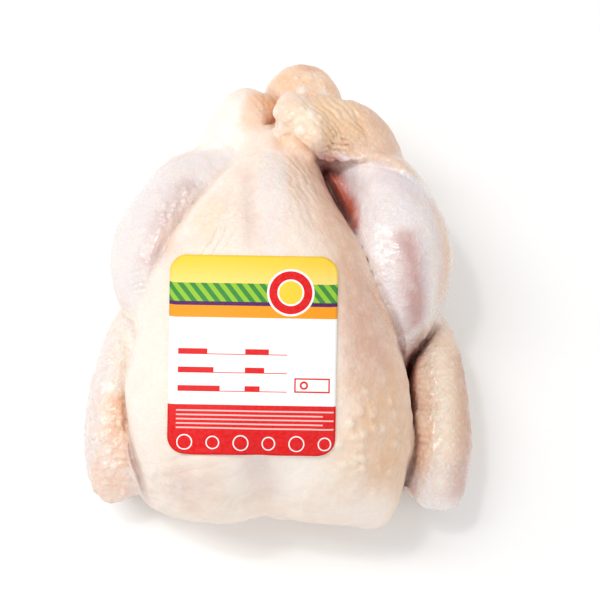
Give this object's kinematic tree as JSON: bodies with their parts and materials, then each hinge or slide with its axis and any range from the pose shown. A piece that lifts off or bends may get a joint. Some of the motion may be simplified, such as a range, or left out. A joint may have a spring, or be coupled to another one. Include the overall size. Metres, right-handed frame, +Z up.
{
  "type": "whole raw chicken",
  "caption": "Whole raw chicken lying on its back, legs crossed over the tail and wings folded, with a plain printed label stuck on the breast.",
  "frame": {"origin": "on the flat patch of back that the bird rests on, under its middle", "axes": "+Z up through the breast, +Y towards the tail, +X to the right of someone who stands at the neck end"},
  "size_m": [0.1989, 0.2562, 0.1073],
  "materials": {
    "skin": "moist raw poultry skin, pale cream to peach, with bluish pink meat showing through where it is thin, yellow fat and fine goosebumps",
    "label_paper": "glossy white self-adhesive label with plain fields of yellow, green, orange and red and no lettering"
  },
  "bodies": {
    "root": {"chicken": "skin", "label": "label_paper"}
  },
  "joints": []
}
